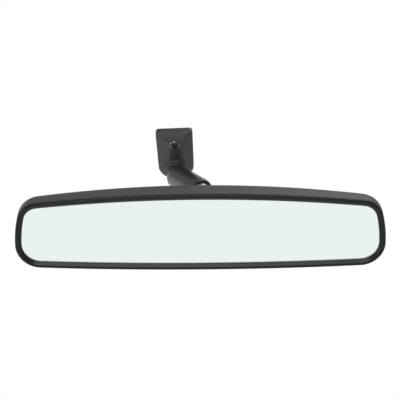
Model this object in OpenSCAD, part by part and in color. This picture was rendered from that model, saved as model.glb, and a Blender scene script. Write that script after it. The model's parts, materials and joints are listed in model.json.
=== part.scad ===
// Interior rearview mirror on a double-ball arm.
// +X runs along the mirror head, the glass faces -Y and +Z is up.
// The origin is the centre of the bracket's back face, which sits on the windshield.

/* [Windshield bracket] */
// Angle of the bracket's back face from upright, top towards the cabin
rake = 16; // [0:1:30]
// Turn of the bracket about its own facing direction
bracket_roll = 2.3; // [-5:0.1:5]
// Width across the top of the bracket
bracket_w = 27.2; // [25:0.2:33]
// Height of the bracket
bracket_h = 44.2; // [42:0.2:53]
// Radius of the rounded bottom of the bracket
bracket_bottom_r = 13.1; // [12:0.1:14]
// Radius of the bracket's top corners
bracket_corner_r = 2.5; // [1:0.1:4]
// Thickness of the bracket at its rim
bracket_rim_t = 4.4; // [4:0.1:8]
// Thickness at the bracket's rounded bottom edge
bracket_foot_t = 6.4; // [6:0.1:8]
// Thickness of the bracket at its raised ridge
bracket_ridge_t = 9.2; // [8:0.1:12]
// Width of the flat on top of the ridge
ridge_w = 8; // [6:0.5:10]

/* [Button channel] */
// Depth of the channel that slides over the windshield button
channel_t = 5.2; // [4.6:0.1:5.4]
// Inner width of the channel at its closed upper end
channel_top_w = 16.4; // [15:0.2:18]
// Inner width of the channel at its open lower end
channel_bottom_w = 19.2; // [17:0.2:20]
// Undercut of the channel's side walls
channel_undercut = 1.2; // [0.5:0.1:2]

/* [Mounting screw] */
// Height of the screw above the bracket's centre
screw_y = 13.2; // [8:0.2:15]
// Radius of the screw's head
screw_head_r = 4.3; // [3.5:0.1:5]
// Height of the screw's head
screw_head_t = 2.2; // [1.5:0.1:3]
// Radius of the screw's shank
screw_r = 2.5; // [2:0.1:3]

/* [Ball joints] */
// Radius of each ball
ball_r = 7; // [6:0.1:8.4]
// Radius of the neck between a ball and its flange
neck_r = 2.4; // [2:0.1:2.8]
// Running clearance round each ball and in the tube's bore
ball_gap = 0.05; // [0.03:0.01:0.08]
// Distance from a ball's centre to the flange of its stud
neck_reach = 9; // [8.8:0.1:11]
// Radius of the stud flanges
flange_r = 6.2; // [5:0.1:7]
// Thickness of the stud flanges
flange_t = 1.6; // [1:0.1:3]
// Radius of the studs' shanks
shank_r = 3; // [2.5:0.1:4]

/* [Upper stud] */
// Height on the bracket at which the upper stud stands out, from its centre
stud_y = -7.5; // [-9:0.1:-5]
// Distance from the bracket's ridge to the upper ball's centre
upper_reach = 14; // [13.5:0.5:20]
// Sideways lean of the upper stud
stud_yaw = 10; // [-15:1:15]
// Downward lean of the upper stud
stud_pitch = -12; // [-30:1:0]
// Radius of the bracket's stud boss
stud_boss_r = 7.4; // [6.5:0.1:9]

/* [Arm] */
// Distance between the two ball centres
arm_length = 36; // [32:0.5:60]
// Outer radius of the arm tube
tube_r = 9; // [8.6:0.1:11]
// Distance that the swaged lips reach past the ball centres
lip_reach = 3.4; // [2.8:0.1:3.8]
// Heading of the arm, from straight out of the bracket towards +X
arm_yaw = 25.5; // [-20:0.5:30]
// Rise of the arm towards the mirror head
arm_pitch = 8; // [-20:0.5:10]
// Distance from a ball's centre to the back of its seat
seat_back = 9; // [8.4:0.1:11]
// Thickness of the washers at the spring's ends
spring_washer_t = 1; // [0.5:0.1:1.5]
// Radius of the spring wire
wire_r = 0.9; // [0.6:0.05:1.2]
// Number of turns of the spring
spring_turns = 6; // [4:1:8]

/* [Mirror head] */
// Width of the mirror head
head_w = 262.6; // [220:1:320]
// Height of the mirror head
head_h = 59.6; // [56:0.2:72]
// Depth of the rear housing at its middle
housing_mid_d = 23; // [21:0.5:30]
// Depth of the rear housing at its ends
housing_end_d = 15.5; // [13:0.5:20]
// Squareness of the rear housing's section, 2 for an ellipse
housing_power = 5; // [3:0.5:8]
// Wall of the rear housing
housing_wall = 2; // [1.5:0.1:2.4]
// Radius of the crowned top edge
crown_r = 1150; // [700:10:2500]
// Radius of the slightly bowed bottom edge
belly_r = 2580; // [1500:20:5000]
// Radius of the bowed ends
end_r = 95; // [80:1:200]
// Height of the widest point of the ends
end_z = -9; // [-12:0.5:0]
// Radius of the upper corners
upper_corner_r = 15; // [10:0.5:16]
// Radius of the lower corners
lower_corner_r = 18; // [10:0.5:26]
// Height of the ball joint above the head's centre
pivot_z = 15.7; // [10:0.1:15.9]

/* [Front bezel and glass] */
// Width of the bezel's visible face
bezel_w = 4.6; // [4.2:0.1:6]
// Thickness of the bezel's lip
bezel_t = 2; // [1.5:0.1:3]
// Thickness of the bezel's skirt inside the housing
skirt_t = 1.2; // [0.8:0.1:1.5]
// Length of the bezel's skirt
skirt_length = 7; // [4:0.5:8]
// Clearance between pieces that nest in each other
nest_gap = 0.15; // [0.1:0.05:0.3]
// Thickness of the mirror glass
glass_t = 3; // [2:0.5:4]
// Thickness of the gasket between lip and glass
gasket_t = 0.3; // [0.2:0.1:0.6]
// Width of the gasket between lip and glass
gasket_w = 0.9; // [0.5:0.1:1]
// Thickness of the safety film behind the glass
film_t = 0.2; // [0.1:0.05:0.4]
// Thickness of the foam pad behind the film
foam_t = 1.6; // [1:0.1:2.5]
// Border of the glass that the foam pad leaves free
foam_border = 7; // [4:0.5:12]
// Thickness of the carrier plate
carrier_t = 2; // [1.5:0.1:3]

/* [Inside the head] */
// Width of the reinforcement plate
plate_w = 64; // [56:1:80]
// Height of the reinforcement plate
plate_h = 34; // [30:0.5:36]
// Thickness of the reinforcement plate
plate_t = 1.6; // [1:0.1:2.5]
// Distance from the pivot to the plate's top edge
plate_above = 9.2; // [8:0.1:9.6]
// Distance from the bezel's front to the back of the plate
plate_y = 19; // [18.5:0.1:19.5]
// Thickness of the rubber washer under the lower flange
rubber_t = 0.8; // [0.5:0.1:1.5]
// Radius of the pivot boss on the housing's back
pivot_boss_r = 10; // [8:0.5:12]
// Thickness of the lock washer
lock_washer_t = 1.2; // [0.8:0.1:1.6]
// Thickness of the stud's nut
nut_t = 4.5; // [3:0.1:5]
// Width of the stud's nut across its flats
nut_af = 10; // [9:0.5:13]
// Radius of the plate screws' shanks
plate_screw_r = 1.2; // [1:0.1:1.5]
// Radius of the plate screws' heads
plate_screw_head_r = 2.6; // [2:0.1:3]
// Thickness of the anti-rattle pads
rattle_pad_t = 1; // [0.5:0.1:2]
// Radius of the posts that carry the anti-rattle pads
post_r = 3.4; // [2.5:0.1:4]

/* [Hidden] */
$fn = 64;

eps = 0.01;
press_gap = 0.03;   // radial clearance where a piece is pressed or screwed in
far = 60;           // longer than any cut has to be

// Directions and places of the ball joints
function heading(yaw, pitch) = [cos(pitch) * sin(yaw), -cos(pitch) * cos(yaw), sin(pitch)];
bracket_up = [0, -sin(rake), cos(rake)];
bracket_out = [0, -cos(rake), -sin(rake)];
stud_dir = heading(stud_yaw, stud_pitch);
arm_dir = heading(arm_yaw, arm_pitch);
stud_root = [-sin(bracket_roll) * stud_y, 0, 0]
            + cos(bracket_roll) * stud_y * bracket_up + bracket_ridge_t * bracket_out;
upper_centre = stud_root + upper_reach * stud_dir;
lower_centre = upper_centre + arm_length * arm_dir;

// Bracket
shank_length = 5.6;             // of the upper stud in the bracket's boss
channel_end = screw_y + 3.4;    // closed upper end of the button channel
ridge_top = screw_y + 1.5;
ridge_bottom = -bracket_h / 2 + 6;

// Ball joints
bore_r = ball_r + ball_gap;
boss_reach = neck_reach + flange_t;
seat_front = 2.5;
seat_hole_r = 1.5;
seat_r = ball_r;
spring_r = bore_r - 2 * wire_r;
spring_from = seat_back + spring_washer_t + 0.05;
spring_to = arm_length - spring_from;

// Depths inside the mirror head, from the bezel's front face
glass_y = bezel_t + gasket_t;
film_y = glass_y + glass_t;
foam_y = film_y + film_t;
carrier_y = foam_y + foam_t;
pad_y = carrier_y + carrier_t;
post_y = pad_y + rattle_pad_t;
plate_front = plate_y - plate_t;
boss_y = bezel_t + housing_mid_d + 0.4;
flange_y = boss_y + rubber_t;
ball_y = flange_y + flange_t + neck_reach;
nut_y = plate_front - lock_washer_t - nut_t;
head_pos = lower_centre - [0, ball_y, pivot_z];

// Insets from the head's outline
skirt_in = housing_wall + nest_gap;
glass_in = skirt_in + skirt_t + nest_gap;

plate_mid_z = pivot_z + plate_above - plate_h / 2;
screw_inset = 5;
plate_screw_spots = [for (sx = [-1, 1], sz = [-1, 1])
    [sx * (plate_w / 2 - screw_inset), plate_mid_z + sz * (plate_h / 2 - screw_inset)]];
post_spots = [for (x = [-0.38, -0.2, 0.2, 0.38]) for (z = [-0.24, 0.24]) [x * head_w, z * head_h]];

// ---- outline of the mirror head ----

crown_c = [0, head_h / 2 - crown_r];
belly_c = [0, -head_h / 2 + belly_r];
end_c = [head_w / 2 - end_r, end_z];

// Where two circles cross, on the side that s picks
function crossing(c1, r1, c2, r2, s) =
    let (d = norm(c2 - c1), e = (c2 - c1) / d, a = (r1 * r1 - r2 * r2 + d * d) / (2 * d),
         h = sqrt(r1 * r1 - a * a))
    c1 + a * e + s * h * [-e[1], e[0]];

upper_c = crossing(crown_c, crown_r - upper_corner_r, end_c, end_r - upper_corner_r, -1);
lower_c = crossing(belly_c, belly_r - lower_corner_r, end_c, end_r - lower_corner_r, 1);

function angle_of(v) = atan2(v[1], v[0]);
upper_a1 = angle_of(upper_c - crown_c);
upper_a2 = angle_of(upper_c - end_c);
lower_a1 = angle_of(lower_c - end_c);
lower_a2 = angle_of(lower_c - belly_c);

function arc(c, r, a1, a2, n) = [for (k = [0 : n - 1]) c + r * [cos(a1 + (a2 - a1) * k / n),
                                                              sin(a1 + (a2 - a1) * k / n)]];

// Right half of the outline, clockwise from the middle of the top
function right_half(inset) = concat(
    arc(crown_c, crown_r - inset, 90, upper_a1, 9),
    arc(upper_c, upper_corner_r - inset, upper_a1, upper_a2, 9),
    arc(end_c, end_r - inset, upper_a2, lower_a1, 4),
    arc(lower_c, lower_corner_r - inset, lower_a1, lower_a2, 9),
    arc(belly_c, belly_r - inset, lower_a2, -90, 9));

function outline(inset) =
    let (half = right_half(inset), n = len(half))
    concat(half, [[0, -head_h / 2 + inset]], [for (k = [n - 1 : -1 : 1]) [-half[k][0], half[k][1]]]);

// ---- places ----

module on_bracket() rotate([90 + rake, 0, 0]) rotate([0, 0, bracket_roll]) children();

// +Z points from the upper ball back to the bracket
module on_upper_stud() translate(upper_centre) rotate([90 - stud_pitch, 0, stud_yaw])
    mirror([0, 0, 1]) children();

// +Z points along the arm from the upper ball to the lower one
module on_arm() translate(upper_centre) rotate([90 - arm_pitch, 0, arm_yaw]) children();

// Turns a piece end for end between the balls
module far_end() translate([0, 0, arm_length]) mirror([0, 0, 1]) children();

module in_head() translate(head_pos) children();

// Extrudes an outline from depth y0 to depth y1
module slab(y0, y1) translate([0, y1, 0]) rotate([90, 0, 0]) linear_extrude(y1 - y0) children();

// A round piece along Y at [x, z], from depth y0 to depth y1
module rod(spot, r, y0, y1) translate([spot[0], y0, spot[1]]) rotate([-90, 0, 0]) cylinder(r = r, h = y1 - y0);

module frame_ring(outer, inner) difference() {
    polygon(outline(outer));
    polygon(outline(inner));
}

// ---- bracket ----

// Shield shape with a straight top, rounded corners and a round bottom
module shield() {
    w = bracket_w / 2;
    top = bracket_h / 2;
    low = -bracket_h / 2 + bracket_bottom_r;
    corner = [w - bracket_corner_r, top - bracket_corner_r];
    half = concat(arc([corner[0], corner[1]], bracket_corner_r, 90, 0, 6),
                  arc([0, low], bracket_bottom_r, 0, -90, 12));
    polygon(concat(half, [[0, low - bracket_bottom_r]],
                   [for (k = [len(half) - 1 : -1 : 0]) [-half[k][0], half[k][1]]]));
}

module channel_slice(y, w) translate([0, y, 0]) rotate([90, 0, 0]) linear_extrude(eps)
    polygon([[-w / 2 + channel_undercut, -eps], [w / 2 - channel_undercut, -eps],
             [w / 2, channel_t], [-w / 2, channel_t]]);

module mount_bracket() color("#2b2c2e") difference() {
    union() {
        on_bracket() hull() {
            linear_extrude(bracket_rim_t) shield();
            translate([0, bracket_bottom_r - bracket_h / 2, 0]) cylinder(r = bracket_bottom_r, h = bracket_foot_t);
            translate([-ridge_w / 2, ridge_bottom, 0]) cube([ridge_w, ridge_top - ridge_bottom, bracket_ridge_t]);
        }
        on_upper_stud() translate([0, 0, boss_reach]) cylinder(r = stud_boss_r, h = upper_reach + 2 - boss_reach);
    }
    on_bracket() hull() {
        channel_slice(channel_end, channel_top_w);
        channel_slice(-bracket_h / 2 - 1, channel_bottom_w);
    }
    on_bracket() translate([0, screw_y, 0]) {
        cylinder(r = screw_r + press_gap, h = far);
        translate([0, 0, bracket_ridge_t - 0.6]) cylinder(r = screw_head_r + 0.2, h = far);
    }
    on_upper_stud() translate([0, 0, boss_reach - eps]) cylinder(r = shank_r + press_gap, h = shank_length + 0.2);
}

module mounting_screw() color("#17181a") on_bracket() translate([0, screw_y, 0]) difference() {
    union() {
        translate([0, 0, channel_t - 0.8]) cylinder(r = screw_r, h = bracket_ridge_t - channel_t + 0.8);
        translate([0, 0, bracket_ridge_t - 0.6]) cylinder(r1 = screw_head_r, r2 = screw_head_r - 0.5, h = screw_head_t);
    }
    for (turn = [0 : 60 : 120]) rotate([0, 0, turn])
        translate([-2.1, -0.55, bracket_ridge_t + screw_head_t - 2.2]) cube([4.2, 1.1, 3]);
}

// ---- ball joints ----

module ball() sphere(r = ball_r);

// Neck and flange of a stud, from the ball outwards along +Z
module stud_head() difference() {
    union() {
        cylinder(r = neck_r, h = neck_reach + eps);
        translate([0, 0, neck_reach]) cylinder(r = flange_r, h = flange_t);
    }
    sphere(r = ball_r + 0.1);
}

module upper_stud() color("#3a3b3d") on_upper_stud() {
    stud_head();
    translate([0, 0, boss_reach - eps]) cylinder(r = shank_r, h = shank_length + eps);
}

module upper_ball() color("#8e9093") translate(upper_centre) ball();

module lower_ball() color("#8e9093") translate(lower_centre) ball();

// Cup that presses on a ball, with its back towards +Z
module ball_seat() difference() {
    translate([0, 0, seat_front]) cylinder(r = seat_r, h = seat_back - seat_front);
    sphere(r = ball_r + ball_gap);
    cylinder(r = seat_hole_r, h = far);
}

module upper_ball_seat() color("#d9d6cc") on_arm() ball_seat();

module lower_ball_seat() color("#d9d6cc") on_arm() far_end() ball_seat();

module spring_washer() translate([0, 0, seat_back]) difference() {
    cylinder(r = seat_r - 0.1, h = spring_washer_t);
    translate([0, 0, -1]) cylinder(r = seat_hole_r, h = far);
}

module upper_spring_washer() color("#9a9c9f") on_arm() spring_washer();

module lower_spring_washer() color("#9a9c9f") on_arm() far_end() spring_washer();

module arm_tube() color("#1d1e20") on_arm() difference() {
    union() {
        cylinder(r = tube_r, h = arm_length);
        sphere(r = tube_r);
        translate([0, 0, arm_length]) sphere(r = tube_r);
    }
    cylinder(r = bore_r, h = arm_length);
    sphere(r = bore_r);
    translate([0, 0, arm_length]) sphere(r = bore_r);
    translate([-far / 2, -far / 2, -lip_reach - far]) cube(far);
    translate([-far / 2, -far / 2, arm_length + lip_reach]) cube(far);
}

// Height of the spring wire's centre at step k, with three quarters of a turn closed at each end
function wire_lift(k, steps) =
    let (t = (k / steps - 0.75) / (spring_turns - 1.5), low = spring_from + wire_r,
         rise = spring_to - spring_from - 2 * wire_r)
    low + rise * min(1, max(0, t));

// Coil spring, its wire swept ring by ring
module arm_spring() color("#a9abae") on_arm() {
    steps = 18;
    sides = 8;
    last = spring_turns * steps;
    points = [for (k = [0 : last]) for (j = [0 : sides - 1])
        let (a = 360 * k / steps, b = 360 * j / sides, r = spring_r + wire_r * cos(b))
        [r * cos(a), r * sin(a), wire_lift(k, steps) + wire_r * sin(b)]];
    walls = [for (k = [0 : last - 1]) for (j = [0 : sides - 1])
        let (i = (j + 1) % sides)
        [k * sides + j, k * sides + i, (k + 1) * sides + i, (k + 1) * sides + j]];
    polyhedron(points, concat(walls, [[for (j = [sides - 1 : -1 : 0]) j]],
                              [[for (j = [0 : sides - 1]) last * sides + j]]));
}

// ---- stud and plate of the mirror head ----

module lower_stud() color("#8e9093") in_head() translate([0, ball_y, pivot_z]) rotate([90, 0, 0]) {
    stud_head();
    translate([0, 0, boss_reach - eps]) cylinder(r = shank_r, h = ball_y - boss_reach - nut_y + 0.8);
}

module stud_gasket() color("#202022") in_head() difference() {
    rod([0, pivot_z], flange_r + 0.8, boss_y, flange_y);
    rod([0, pivot_z], shank_r + press_gap, boss_y - 1, flange_y + 1);
}

module stud_lock_washer() color("#9a9c9f") in_head() difference() {
    rod([0, pivot_z], nut_af / 2 + 0.5, plate_front - lock_washer_t, plate_front);
    rod([0, pivot_z], shank_r + press_gap, nut_y, plate_front + 1);
}

module stud_nut() color("#b0a67c") in_head() difference() {
    translate([0, nut_y, pivot_z]) rotate([-90, 0, 0]) cylinder(d = nut_af / cos(30), h = nut_t, $fn = 6);
    rod([0, pivot_z], shank_r + press_gap, nut_y - 1, plate_front);
}

module reinforcement_plate() color("#9a9c9f") in_head() difference() {
    slab(plate_front, plate_y) translate([0, plate_mid_z]) {
        square([plate_w, plate_h - 6], center = true);
        square([plate_w - 6, plate_h], center = true);
    }
    rod([0, pivot_z], shank_r + press_gap, 0, plate_y + 1);
    for (spot = plate_screw_spots) rod(spot, plate_screw_r + 0.1, 0, plate_y + 1);
}

module plate_screws() color("#b5b7ba") in_head() for (spot = plate_screw_spots) {
    rod(spot, plate_screw_head_r, plate_front - 1.6, plate_front);
    rod(spot, plate_screw_r, plate_front - eps, plate_y + 2);
}

// ---- rear housing ----

// Share of the full size left at angle a of the housing's squarish section
function left_over(a) = pow(cos(a), 2 / housing_power);
function risen(a) = pow(sin(a), 2 / housing_power);

// One ring of the housing's skin, for a shell that lies wall inside the outer one
function ring(a, wall) =
    let (near = 3, base = outline(min(near, wall)), inset = wall + (head_h / 2 - wall) * (1 - left_over(a)),
         sx = (head_w / 2 - inset) / (head_w / 2 - wall), sz = (head_h / 2 - inset) / (head_h / 2 - wall))
    [for (p = base)
        let (x = p[0] * sx, z = p[1] * sz)
        [x, bezel_t + (back_at(x) - bezel_t - wall) * risen(a), z]];

// Depth of the housing's outer back along its middle line, and above or below it
function back_at(x) = bezel_t + housing_mid_d - (housing_mid_d - housing_end_d) * pow(2 * x / head_w, 2);
function back_off_middle(x, z) =
    bezel_t + (back_at(x) - bezel_t) * pow(1 - pow(abs(2 * z / head_h), housing_power), 1 / housing_power);

// Depth that a post of radius post_r can reach without showing on the outside
function post_end(spot) = back_off_middle(spot[0], abs(spot[1]) + post_r) - 0.4;

ring_angles = [0, 1, 4, 10, 20, 32, 46, 60, 72, 82];

module housing_shell() {
    count = len(outline(0));
    rings = len(ring_angles);
    outer = [for (a = ring_angles) each ring(a, 0)];
    inner = [for (a = ring_angles) each ring(a, housing_wall)];
    shift = len(outer);
    points = concat(outer, inner, [[0, back_at(0), 0]], [[0, back_at(0) - housing_wall, 0]]);
    top = 2 * shift;
    function quads(base, flip) = [for (k = [0 : rings - 2]) for (j = [0 : count - 1])
        let (i = (j + 1) % count, a = base + k * count, b = a + count)
        flip ? [a + i, b + i, b + j, a + j] : [a + j, b + j, b + i, a + i]];
    function fan(base, tip, flip) = [for (j = [0 : count - 1])
        let (i = (j + 1) % count, a = base + (rings - 1) * count)
        flip ? [a + i, tip, a + j] : [a + j, tip, a + i]];
    rim = [for (j = [0 : count - 1]) let (i = (j + 1) % count) [j, i, shift + i, shift + j]];
    polyhedron(points, concat(quads(0, false), fan(0, top, false),
                              quads(shift, true), fan(shift, top + 1, true), rim));
}

module rear_housing() color("#1f2022") in_head() difference() {
    union() {
        housing_shell();
        rod([0, pivot_z], pivot_boss_r, plate_y, boss_y);
        for (spot = plate_screw_spots) rod(spot, post_r, plate_y, post_end(spot));
        for (spot = post_spots) rod(spot, post_r, post_y, post_end(spot));
    }
    rod([0, pivot_z], shank_r + 0.2, plate_y - 1, boss_y + 1);
    for (spot = plate_screw_spots) rod(spot, plate_screw_r + press_gap, plate_y - 1, plate_y + 2.2);
}

// ---- bezel, glass and what carries it ----

module front_bezel() color("#232426") in_head() {
    slab(0, bezel_t) frame_ring(0, bezel_w);
    slab(bezel_t - eps, bezel_t + skirt_length) frame_ring(skirt_in, skirt_in + skirt_t);
}

module glass_gasket() color("#151517") in_head() slab(bezel_t, glass_y) frame_ring(glass_in, glass_in + gasket_w);

module mirror_glass() color("#e9f1f1") in_head() slab(glass_y, film_y) polygon(outline(glass_in));

module backing_film() color("#6e7276") in_head() slab(film_y, foam_y) polygon(outline(glass_in));

module foam_pad() color("#3d3f42") in_head() slab(foam_y, carrier_y) polygon(outline(glass_in + foam_border));

module glass_carrier() color("#2a2b2d") in_head() slab(carrier_y, pad_y) polygon(outline(glass_in));

module anti_rattle_pads() color("#46484b") in_head() for (spot = post_spots) rod(spot, post_r - 0.4, pad_y, post_y);

mount_bracket();
mounting_screw();
upper_stud();
upper_ball();
upper_ball_seat();
upper_spring_washer();
arm_spring();
arm_tube();
lower_spring_washer();
lower_ball_seat();
lower_ball();
lower_stud();
stud_gasket();
stud_lock_washer();
stud_nut();
reinforcement_plate();
plate_screws();
rear_housing();
front_bezel();
glass_gasket();
mirror_glass();
backing_film();
foam_pad();
glass_carrier();
anti_rattle_pads();
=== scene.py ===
"""Interior rearview mirror: finished pieces, their materials and a plain studio round the fixed frame."""

from __future__ import annotations

import json
import logging
import math
from collections.abc import Callable, Sequence
from dataclasses import dataclass
from enum import Enum

import bmesh
import bpy
from mathutils import Matrix, Vector

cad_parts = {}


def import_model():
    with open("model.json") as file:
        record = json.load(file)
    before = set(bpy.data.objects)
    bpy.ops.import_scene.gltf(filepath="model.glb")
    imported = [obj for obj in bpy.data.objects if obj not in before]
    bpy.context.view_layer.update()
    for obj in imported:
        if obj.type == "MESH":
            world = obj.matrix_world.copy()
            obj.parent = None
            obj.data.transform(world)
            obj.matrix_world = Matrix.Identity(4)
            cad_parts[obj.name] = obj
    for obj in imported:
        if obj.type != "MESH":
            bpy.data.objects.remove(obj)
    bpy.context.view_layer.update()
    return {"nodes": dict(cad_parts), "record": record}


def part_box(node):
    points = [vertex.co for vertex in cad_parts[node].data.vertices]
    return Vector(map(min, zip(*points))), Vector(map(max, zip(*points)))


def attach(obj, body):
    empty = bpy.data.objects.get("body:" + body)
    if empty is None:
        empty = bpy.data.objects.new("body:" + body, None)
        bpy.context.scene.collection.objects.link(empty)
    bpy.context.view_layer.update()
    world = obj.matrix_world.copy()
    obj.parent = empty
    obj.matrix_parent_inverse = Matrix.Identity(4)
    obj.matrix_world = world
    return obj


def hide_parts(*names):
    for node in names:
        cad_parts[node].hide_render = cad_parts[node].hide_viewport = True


log = logging.getLogger("mirror")

MM = 0.001
SHARP_DEG = 32.0
Point2 = tuple[float, float]
Colour = tuple[float, float, float]
Shape = tuple[list[Vector], list[tuple[int, ...]]]


class Slot(Enum):
    """Material slots of the record that the pieces take their finish from."""

    BRACKET = "bracket_paint"
    SCREW = "screw_black"
    STUD = "stud_black"
    BALL = "ball_steel"
    NYLON = "seat_nylon"
    ZINC = "zinc_plate"
    SPRING = "spring_steel"
    TUBE = "tube_paint"
    RUBBER = "black_rubber"
    PLATE = "plate_steel"
    HOUSING = "housing_plastic"
    BEZEL = "bezel_plastic"
    GLASS = "silvered_glass"
    FILM = "grey_film"
    FOAM = "grey_foam"
    CARRIER = "carrier_plastic"


# ---- shader maths ----


class Signal:
    """A shader value on which Python arithmetic builds Math nodes."""

    def __init__(self, graph: Graph, socket: bpy.types.NodeSocket) -> None:
        """Wraps one output socket of a graph."""
        self.graph = graph
        self.socket = socket

    def _math(self, operation: str, first: Signal | float, second: Signal | float) -> Signal:
        """Adds one Math node and returns its result."""
        node = self.graph.node("ShaderNodeMath", {"operation": operation}, {0: first, 1: second})
        return Signal(self.graph, node.outputs[0])

    def __add__(self, other: Signal | float) -> Signal:
        """Sum."""
        return self._math("ADD", self, other)

    __radd__ = __add__

    def __sub__(self, other: Signal | float) -> Signal:
        """Difference."""
        return self._math("SUBTRACT", self, other)

    def __rsub__(self, other: float) -> Signal:
        """Difference from a plain number."""
        return self._math("SUBTRACT", other, self)

    def __mul__(self, other: Signal | float) -> Signal:
        """Product."""
        return self._math("MULTIPLY", self, other)

    __rmul__ = __mul__

    def __pow__(self, other: float) -> Signal:
        """Power."""
        return self._math("POWER", self, other)

    def held(self, low: float, high: float) -> Signal:
        """The value kept between two limits."""
        return self._math("MINIMUM", self._math("MAXIMUM", self, low), high)


class Graph:
    """The node tree of one material."""

    def __init__(self, name: str) -> None:
        """Starts an empty material."""
        self.material = bpy.data.materials.new(name)
        self.material.use_nodes = True
        self.tree = self.material.node_tree
        self.tree.nodes.clear()
        self.coordinates = self.node("ShaderNodeTexCoord").outputs["Object"]

    def node(self, kind: str, settings: dict | None = None, inputs: dict | None = None) -> bpy.types.Node:
        """Adds one node.

        Args:
            kind: The node's type.
            settings: Attributes that are set first.
            inputs: Values, signals or sockets, by the name or number of the input.

        Returns:
            The new node.
        """
        node = self.tree.nodes.new(kind)
        for key, value in (settings or {}).items():
            setattr(node, key, value)
        for key, value in (inputs or {}).items():
            source = value.socket if isinstance(value, Signal) else value
            if isinstance(source, bpy.types.NodeSocket):
                self.tree.links.new(source, node.inputs[key])
            else:
                node.inputs[key].default_value = source
        return node

    def stretched(self, scale: Colour) -> bpy.types.NodeSocket:
        """Object coordinates, stretched by a factor along each axis."""
        return self.node("ShaderNodeMapping", None, {"Vector": self.coordinates, "Scale": scale}).outputs[0]

    def noise(self, size_mm: float, detail: float = 2.0, along: bpy.types.NodeSocket | None = None) -> Signal:
        """Cloudy noise whose blotches are about size_mm wide."""
        inputs = {"Vector": along or self.coordinates, "Scale": 1.0 / (size_mm * MM), "Detail": detail}
        return Signal(self, self.node("ShaderNodeTexNoise", None, inputs).outputs[0])

    def cells(self, size_mm: float) -> Signal:
        """Distance to the nearest of many points about size_mm apart."""
        inputs = {"Vector": self.coordinates, "Scale": 1.0 / (size_mm * MM)}
        return Signal(self, self.node("ShaderNodeTexVoronoi", None, inputs).outputs["Distance"])

    def edges(self) -> Signal:
        """About 1 on outer edges and 0 on flat faces."""
        sharp = Signal(self, self.node("ShaderNodeNewGeometry").outputs["Pointiness"])
        return ((sharp - 0.52) * 12.0).held(0.0, 1.0)

    def mixed(self, factor: Signal, first: Colour, second: Colour) -> bpy.types.NodeSocket:
        """A colour between two colours."""
        inputs = {0: factor, 6: (*first, 1.0), 7: (*second, 1.0)}
        return self.node("ShaderNodeMix", {"data_type": "RGBA"}, inputs).outputs[2]

    def bump(self, height: Signal, depth_mm: float) -> bpy.types.NodeSocket:
        """A normal that follows a height of 0 to 1 over depth_mm."""
        inputs = {"Height": height, "Distance": depth_mm * MM, "Strength": 1.0}
        return self.node("ShaderNodeBump", None, inputs).outputs[0]

    def surface(self, inputs: dict) -> bpy.types.Material:
        """Ends the tree in a Principled shader with those inputs."""
        shader = self.node("ShaderNodeBsdfPrincipled", None, inputs)
        self.node("ShaderNodeOutputMaterial", None, {"Surface": shader.outputs[0]})
        return self.material


# ---- finishes ----


@dataclass(frozen=True)
class Finish:
    """A surface finish: colour, gloss, and a fine texture with its own size and depth."""

    name: str
    colour: Colour
    roughness: float
    metallic: float = 0.0
    coat: float = 0.0
    specular: float = 0.5
    grain_mm: float = 0.5
    grain_depth_mm: float = 0.01
    gloss_spread: float = 0.08
    colour_spread: float = 0.2
    edge_wear: float = 0.0

    def texture(self, graph: Graph) -> Signal:
        """Height of the fine texture, from 0 to 1."""
        return graph.noise(self.grain_mm, 3.0)

    def build(self) -> bpy.types.Material:
        """The finished material."""
        graph = Graph(self.name)
        height = self.texture(graph)
        patches = graph.noise(28.0, 3.0)
        blend = (patches * 0.6 + height * 0.4).held(0.0, 1.0)
        worn = graph.edges() * graph.noise(3.0, 4.0) * self.edge_wear if self.edge_wear else None
        if worn is not None:
            blend = (blend + worn * 2.0).held(0.0, 1.0)
        dark = tuple(c * (1.0 - self.colour_spread) for c in self.colour)
        light = tuple(c * (1.0 + self.colour_spread) for c in self.colour)
        rough = (patches - 0.5) * self.gloss_spread + (height - 0.5) * self.gloss_spread + self.roughness
        return graph.surface(
            {
                "Base Color": graph.mixed(blend, dark, light),
                "Roughness": rough.held(0.03, 1.0),
                "Metallic": self.metallic,
                "Specular IOR Level": self.specular,
                "Coat Weight": self.coat,
                "Coat Roughness": 0.12,
                "Normal": graph.bump(height, self.grain_depth_mm),
            }
        )


class GrainedPlastic(Finish):
    """Moulded plastic with a fine leathery tool grain."""

    def texture(self, graph: Graph) -> Signal:
        """Pebbles with soft valleys, broken up by a finer noise."""
        pebbles = (graph.cells(self.grain_mm) * 1.3).held(0.0, 1.0)
        return 1.0 - pebbles * 0.7 - graph.noise(self.grain_mm * 0.4) * 0.3


class SprayedPaint(Finish):
    """Sprayed paint with orange peel and fine dust nibs."""

    def texture(self, graph: Graph) -> Signal:
        """Low swells with a little fine grit on them."""
        return graph.noise(self.grain_mm, 1.0) * 0.85 + graph.noise(self.grain_mm * 0.15) * 0.15


class BrushedMetal(Finish):
    """Metal with fine drawing lines along X."""

    def texture(self, graph: Graph) -> Signal:
        """Long thin scratches."""
        return graph.noise(self.grain_mm, 3.0, graph.stretched((0.06, 1.0, 1.0)))


class CellFoam(Finish):
    """Closed-cell foam."""

    def texture(self, graph: Graph) -> Signal:
        """Round open cells of two sizes."""
        return (graph.cells(self.grain_mm) * 0.7 + graph.cells(self.grain_mm * 0.45) * 0.3).held(0.0, 1.0)


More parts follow.
